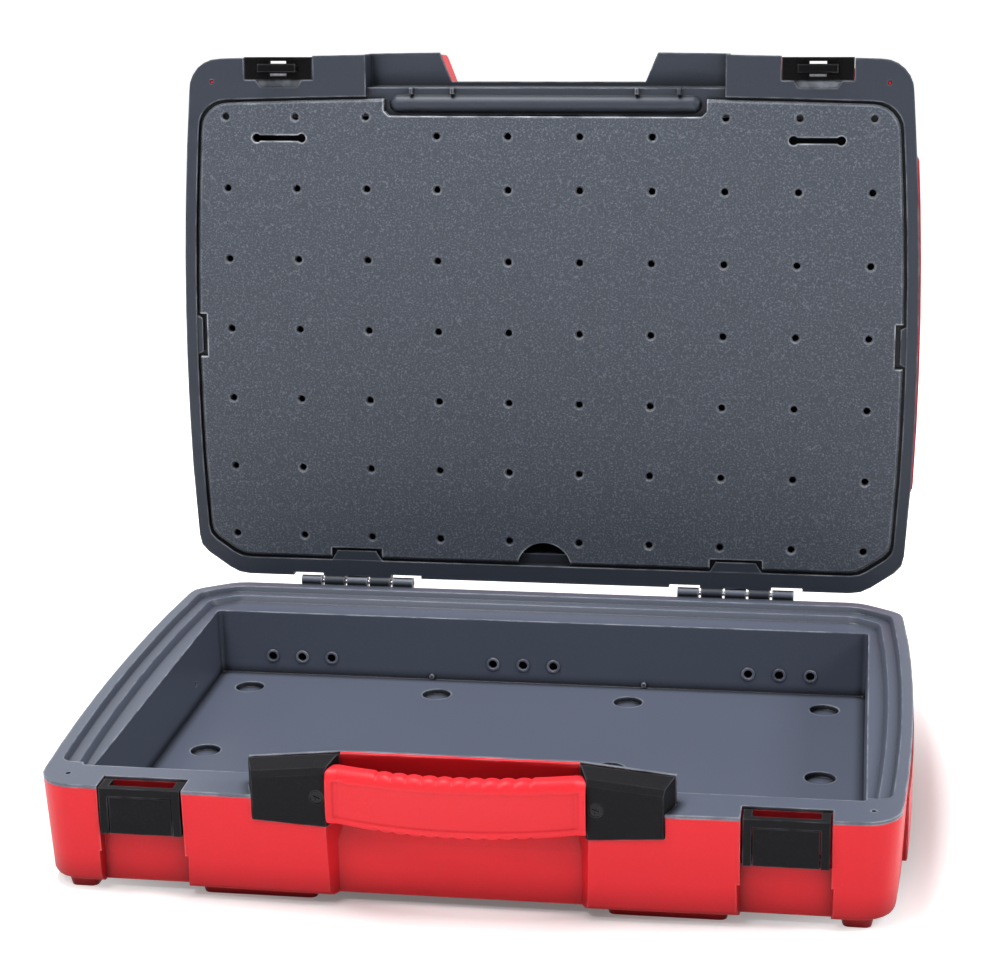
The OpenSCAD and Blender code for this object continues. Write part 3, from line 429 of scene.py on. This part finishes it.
# ---- handle grip --------------------------------------------------------------
# The red grip, moulded round the core. Its front has a long sunk field between
# two rims, and the top and bottom rims are scalloped for the fingers.
grip_middle_z, tongue_y, case_front = 0.0695, -0.180, -0.187
grip_bow, grip_bow_half = 0.012, 0.0685
grip_front, grip_back, grip_rise, grip_swell = 0.00715, 0.00555, 0.018, 0.001
squareness, front_swell = 0.55, 2.6
# half lengths at the case's front, and how much shorter the grip is at slant_depth
# behind it, for the two slanted faces of a bracket
bracket_slants, slant_depth, end_gap = ((0.0749, 0.0055), (0.0767, 0.009)), 0.016, 0.0001
scallop_pitch, scallop_half, scallop_depth, scallop_fade = 0.0088, 0.0465, 0.0012, 0.003
rim_level, rim_fade = 0.78, 0.18
field_top, field_bottom, field_half, field_depth = 0.66, -0.70, 0.0712, 0.0009
field_fade, field_end_fade = 0.07, 0.0012


def eased(x):
    """0 below 0, 1 above 1, and 3x^2 - 2x^3 between."""
    x = np.clip(x, 0.0, 1.0)
    return x * x * (3.0 - 2.0 * x)


def grip_surface(along, around, share):
    """Points of the grip. along is -1..1 from end to end, around is the angle of
    a squared ellipse (each of cos and sin to the power of squareness), and share
    shrinks the section to its middle. The middle line bows forward by a parabola,
    the ends are slanted as the brackets are, the front has a field sunk by an
    eased step, and the rims have grooves 1 - |sin|^0.7 across them."""
    c, s = np.cos(around), np.sin(around)
    swell = (along ** 2) * grip_swell

    def depth_at(k):
        reach = np.where(c > 0, grip_back, grip_front + front_swell * k)
        return reach * np.sign(c) * np.abs(c) ** squareness

    behind = (tongue_y + share * depth_at(grip_swell) - case_front) / slant_depth
    behind = np.clip(behind, 0.0, 1.0)
    first, second = (half - less * behind for half, less in bracket_slants)
    x = along * (np.minimum(first, second) - end_gap)
    rise = (grip_rise - swell) * np.sign(s) * np.abs(s) ** squareness
    level = rise / (grip_rise - swell)
    depth = depth_at(swell)
    # scallops of the rims
    ridge = 1.0 - np.abs(np.sin(np.pi * x / scallop_pitch)) ** 0.7
    rims = eased((scallop_half - np.abs(x)) / scallop_fade)
    rims = rims * eased((np.abs(level) - rim_level) / rim_fade)
    rise = rise - np.sign(level) * scallop_depth * ridge * rims
    # sunk field of the front
    field = eased((field_top - level) / field_fade) * eased((level - field_bottom) / field_fade)
    field = field * eased((field_half - np.abs(x)) / field_end_fade) * eased((-c - 0.2) / 0.2)
    depth = depth + field_depth * field
    middle = tongue_y - grip_bow * np.maximum(0.0, 1.0 - (x / grip_bow_half) ** 2)
    return np.stack([x, middle + share * depth, grip_middle_z + share * rise], axis=-1)


def wall_faces(stations, turns):
    """Quads of a tube of closed rings: each joins two points that are next to each
    other in a ring to the same two in the next ring."""
    i, j = np.meshgrid(np.arange(stations - 1), np.arange(turns), indexing="ij")
    after = (j + 1) % turns
    quads = [i * turns + j, i * turns + after, (i + 1) * turns + after, (i + 1) * turns + j]
    return np.stack(quads, -1).reshape(-1, 4)


def moulding(name, points, faces, material, smooth=True):
    """A new piece from its points and its faces, in one material."""
    mesh = bpy.data.meshes.new(name)
    mesh.from_pydata(points, [], faces)
    if smooth:
        mesh.shade_smooth()
    mesh.materials.append(material)
    piece = bpy.data.objects.new(name, mesh)
    scene.collection.objects.link(piece)
    return piece


# the wall from end to end, and at each end half a ring inwards and one pole
stations, turns = 300, 176
ring = np.arange(turns)
after = (ring + 1) % turns
angle = ring * 2 * np.pi / turns
along, around = np.meshgrid(np.linspace(-1, 1, stations), angle, indexing="ij")
wall = grip_surface(along, around, 1.0).reshape(-1, 3)
rings = [grip_surface(np.full(turns, end), angle, 0.5) for end in (-1.0, 1.0)]
poles = [grip_surface(np.full(1, end), angle[:1], 0.0) for end in (-1.0, 1.0)]
points = np.concatenate([wall, *rings, *poles])
last, left, right = (stations - 1) * turns, stations * turns, (stations + 1) * turns
left_pole, right_pole = np.full(turns, right + turns), np.full(turns, right + turns + 1)
quads = np.concatenate([
    wall_faces(stations, turns),
    np.stack([ring, left + ring, left + after, after], -1),
    np.stack([last + ring, last + after, right + after, right + ring], -1)])
fans = np.concatenate([
    np.stack([left + ring, left_pole, left + after], -1),
    np.stack([right + ring, right + after, right_pole], -1)])
grip_red = moulded(
    "grip_red", screen(236, 42, 52), fleck=screen(243, 60, 68), share=0.35,
    highlight_to=screen(248, 118, 124), amount=0.3, radius=0.0005, drift=0.05,
    roughness=0.45, grain=0.03, specular=0.25, reach=0.004, depth=0.6)
grip = moulding("grip_moulding", points.tolist(), quads.tolist() + fans.tolist(), grip_red)
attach(grip, "base")
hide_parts("handle_grip")

# ---- screws of the handle -----------------------------------------------------
# Black Phillips screws hold the core in the brackets, and zinc-plated ones come
# through the shell from behind.
black_oxide = moulded(
    "black_oxide", screen(36, 36, 38), fleck=screen(52, 52, 55), share=0.4,
    highlight_to=screen(120, 121, 125), amount=0.7, radius=0.0003, scale=1500.0, drift=0.1,
    roughness=0.35, grain=0.005, specular=0.1, reach=0.002, depth=0.8)
coat("handle_screws", black_oxide)
zinc_plate = moulded(
    "zinc_plate", screen(170, 172, 176), fleck=screen(196, 198, 200), share=0.4,
    highlight_to=screen(214, 215, 218), amount=0.3, radius=0.0003, scale=1200.0, drift=0.12,
    roughness=0.32, grain=0.005, metallic=1.0)
coat("bracket_screws", zinc_plate)

# ---- latches ------------------------------------------------------------------
# Each latch is a black lever with two flanges, a loop that it pulls over the
# lid's keeper, and two steel pins.
for side in ("left", "right"):
    coat(side + "_latch_lever", black_nylon)
    coat(side + "_latch_loop", black_nylon)
    coat(side + "_lever_pin", black_oxide)
    coat(side + "_loop_pin", black_oxide)

# ---- lid shell ----------------------------------------------------------------
# The outer half-shell of the lid, in the same red polypropylene as the base.
coat("lid_shell", red_moulding)

# ---- lid liner ----------------------------------------------------------------
# The inner half of the lid, in the same slate grey, painted darker as shade: a seat for the tool
# panel, a bar that holds the panel's edge, and the upper hinge knuckles.
# The lid liner's darker colour is painted shade: the base liner's slate, darkened for the shade
# the lid stands in.
slate_moulding_shaded_copy = moulded(
    "slate_moulding_shaded_copy", screen(48, 53, 63), fleck=screen(60, 65, 76), share=0.35,
    highlight_to=screen(176, 180, 190), amount=0.5, radius=0.0012, drift=0.06,
    roughness=0.42, grain=0.02, specular=0.22, reach=0.008, depth=0.8)
coat("lid_liner", slate_moulding_shaded_copy)

# ---- tool panel ---------------------------------------------------------------
# A flat panel punched with rows of hook holes. Its face is coarsely grained, so
# it looks speckled, and its edge is bevelled.
# The strong pale edge colour over a wide radius is a painted highlight on the bevel and the hole
# rims.
speckled_board = moulded(
    "speckled_board", screen(66, 71, 80), fleck=screen(118, 124, 136), share=0.75,
    highlight_to=screen(212, 215, 222), amount=1.0, radius=0.0014, scale=800.0, drift=0.05,
    roughness=0.55, grain=0.25, specular=0.25, reach=0.003, depth=0.6)
coat("tool_panel", speckled_board)

# ---- keepers ------------------------------------------------------------------
# A keeper for each latch, in a jet-black batch of the nylon, screwed behind the
# lid's front edge.
jet_nylon = moulded(
    "jet_nylon", screen(12, 12, 13), fleck=screen(24, 24, 26), share=0.4,
    highlight_to=screen(96, 97, 101), amount=0.7, radius=0.0008, drift=0.1,
    roughness=0.5, grain=0.02, specular=0.04, reach=0.003, depth=0.7)
for side in ("left", "right"):
    coat(side + "_latch_keeper", jet_nylon)
coat("keeper_screws", zinc_plate)

# ---- catch pads ---------------------------------------------------------------
# A ribbed wedge fills the lower slot of each keeper from behind, and its pale grey colour is a
# painted highlight. Its face leans back towards the bottom.
lid_lean = math.radians(4.3)
slot_x, slot_y, slot_z = 0.1865, 0.21633, 0.43140
pad_half, pad_grooves, groove_depth = 0.0057, 9, 0.0003
pad_section = np.array([(0.05, 0.4), (1.74, 0.1), (1.74, 2.9), (0.05, 2.9)]) * 0.001


def pad_surface(middle_x, share):
    """Points of a pad: a section of four corners, in heights above the slot's
    lower edge and depths behind the keeper's face, is turned by the lid's lean
    and carried across the slot as share goes from 0 to 1. The two front corners
    sink by sin^2 of the share, once for each groove."""
    up, back = pad_section.T
    sink = groove_depth * np.sin(np.pi * pad_grooves * share) ** 2
    back = back + sink[:, None] * np.array([1.0, 1.0, 0.0, 0.0])
    x = np.repeat(middle_x + (2.0 * share - 1.0)[:, None] * pad_half, 4, axis=1)
    y = slot_y + up * math.sin(lid_lean) + back * math.cos(lid_lean)
    z = slot_z + up * math.cos(lid_lean) - back * math.sin(lid_lean)
    return np.stack([x, y, z], axis=-1).reshape(-1, 3)


# Pale grey here is a painted highlight in the keeper's lower slot.
pale_pad_highlight = moulded(
    "pale_pad_highlight", screen(190, 192, 198), fleck=screen(222, 224, 228), share=0.5,
    highlight_to=screen(226, 227, 230), amount=0.6, radius=0.0002, scale=1500.0, drift=0.2,
    roughness=0.4, grain=0.03, specular=0.3, reach=0.001, depth=0.5)
pad_stations = pad_grooves * 8 + 1
pad_sides = wall_faces(pad_stations, 4)[:, [0, 3, 2, 1]]
pad_ends = np.array([(0, 1, 2, 3), (3, 2, 1, 0)]) + np.array([[0], [(pad_stations - 1) * 4]])
for side, middle_x in (("left", -slot_x), ("right", slot_x)):
    points = pad_surface(middle_x, np.linspace(0, 1, pad_stations))
    pad = moulding(side + "_catch_pad", points.tolist(), pad_sides.tolist() + pad_ends.tolist(),
                   pale_pad_highlight, smooth=False)
    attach(pad, "lid")

# ---- rim plugs ----------------------------------------------------------------
# A red plug with a domed end is pressed into each of the two small holes in the
# front corners of the lid's rim, a little below the face.
hole_x, hole_y, hole_z = 0.2345, 0.21603, 0.42741
plug_turns = 32
plug_outline = np.array([(0.02, 0.40), (0.5, 0.44), (0.95, 0.60), (1.3, 0.88), (1.46, 1.25),
                         (1.46, 2.0), (0.02, 2.0)]) * 0.001


def plug_surface(middle_x):
    """Points of a plug: its outline from the dome to the back, in radii and in
    depths behind the rim's face, is turned about the hole's axis by cos and sin
    of the turn, and the axis leans as the lid does."""
    radius, depth = plug_outline.T
    turn = np.arange(plug_turns) * 2 * np.pi / plug_turns
    across, up = np.outer(radius, np.cos(turn)), np.outer(radius, np.sin(turn))
    back = np.repeat(depth[:, None], plug_turns, axis=1)
    y = hole_y + up * math.sin(lid_lean) + back * math.cos(lid_lean)
    z = hole_z + up * math.cos(lid_lean) - back * math.sin(lid_lean)
    return np.stack([middle_x + across, y, z], axis=-1).reshape(-1, 3)


plug_sides = wall_faces(len(plug_outline), plug_turns)[:, [0, 3, 2, 1]]
plug_front = np.arange(plug_turns)
plug_back = (len(plug_outline) - 1) * plug_turns + plug_front[::-1]
plug_faces = plug_sides.tolist() + [plug_front.tolist(), plug_back.tolist()]
for side, middle_x in (("left", -hole_x), ("right", hole_x)):
    plug = moulding(side + "_rim_plug", plug_surface(middle_x).tolist(), plug_faces, red_moulding)
    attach(plug, "lid")
